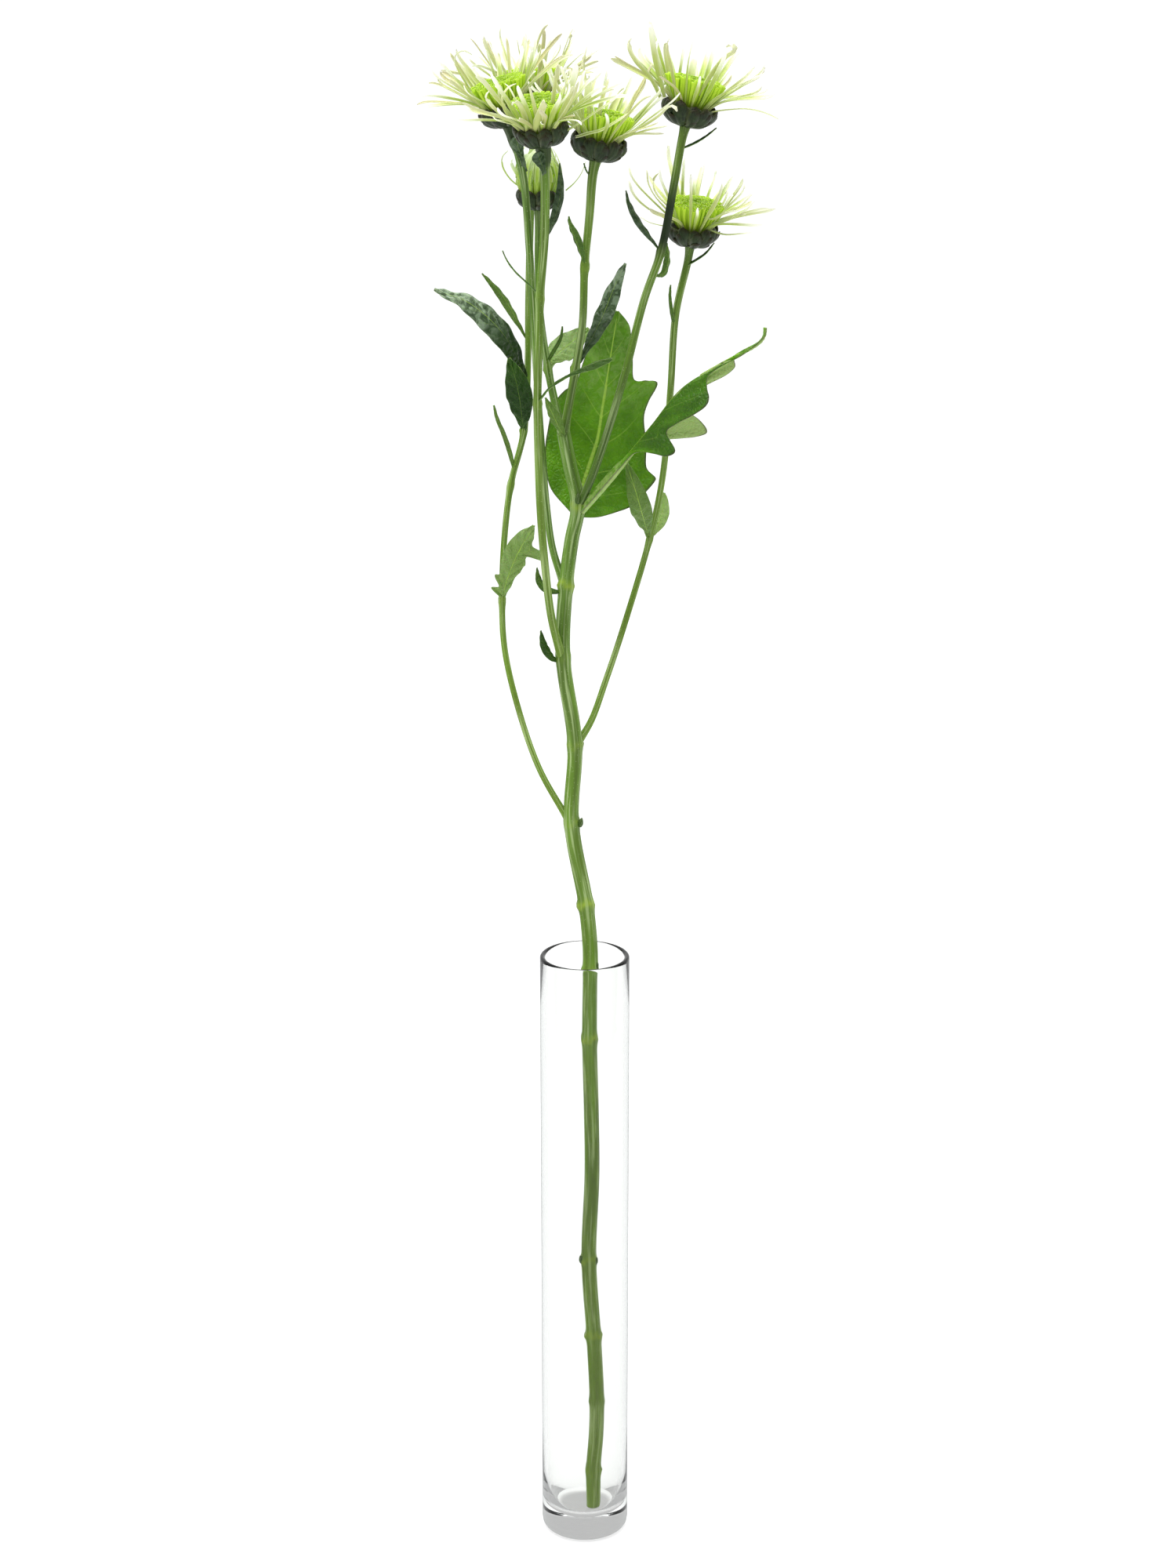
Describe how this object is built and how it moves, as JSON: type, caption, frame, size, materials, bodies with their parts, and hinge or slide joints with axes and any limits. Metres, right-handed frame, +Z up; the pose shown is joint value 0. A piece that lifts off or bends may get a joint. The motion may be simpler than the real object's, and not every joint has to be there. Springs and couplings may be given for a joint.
{
  "type": "santini chrysanthemum stem in a tube vase",
  "caption": "Cut spray of green spider santini chrysanthemums, lime discs in thread-like cream rays, with lobed leaves, standing in a clear round glass tube vase.",
  "frame": {"origin": "centre of the vase's flat underside", "axes": "+Z up along the vase, +X to the viewer's right and -Y towards the viewer, as the spray is seen in the picture"},
  "size_m": [0.134, 0.1262, 0.6031],
  "materials": {
    "vase_glass": "clear, polished",
    "stalk": "fresh green stalk, ribbed, slightly downy",
    "leaf_blade": "satin leaf with a sunken midrib and net",
    "bract_cup": "dark overlapping bracts with pale edges",
    "disc_floret": "lime tubular florets",
    "ray_floret": "thin cream-green florets, half see-through"
  },
  "bodies": {
    "root": {"glass_vase": "vase_glass", "main_stem": "stalk", "shoot_a": "stalk", "shoot_b": "stalk", "shoot_c": "stalk", "shoot_d": "stalk", "shoot_e": "stalk", "shoot_f": "stalk", "shoot_g": "stalk", "leaf_main_broad": "leaf_blade", "leaf_main_lobed": "leaf_blade", "leaf_low_hook": "leaf_blade", "leaf_low_dark": "leaf_blade", "sheath_a": "leaf_blade", "leaf_b_right": "leaf_blade", "sheath_b": "leaf_blade", "leaf_c_low": "leaf_blade", "leaf_c_dark": "leaf_blade", "leaf_c_long": "leaf_blade", "leaf_c_slim": "leaf_blade", "leaf_d_broad": "leaf_blade", "leaf_d_top": "leaf_blade", "leaf_fork": "leaf_blade", "leaf_e_low": "leaf_blade", "leaf_e_high": "leaf_blade", "leaf_f_left": "leaf_blade", "leaf_f_right": "leaf_blade", "leaf_g_left": "leaf_blade", "leaf_g_right": "leaf_blade", "head_a_cup": "bract_cup", "head_a_disc": "disc_floret", "head_a_rays": "ray_floret", "head_b_cup": "bract_cup", "head_b_disc": "disc_floret", "head_b_rays": "ray_floret", "head_c_cup": "bract_cup", "head_c_disc": "disc_floret", "head_c_rays": "ray_floret", "head_d_cup": "bract_cup", "head_d_disc": "disc_floret", "head_d_rays": "ray_floret", "head_e_cup": "bract_cup", "head_e_disc": "disc_floret", "head_e_rays": "ray_floret", "head_f_cup": "bract_cup", "head_f_disc": "disc_floret", "head_f_rays": "ray_floret", "head_g_cup": "bract_cup", "head_g_disc": "disc_floret", "head_g_rays": "ray_floret"}
  },
  "joints": []
}
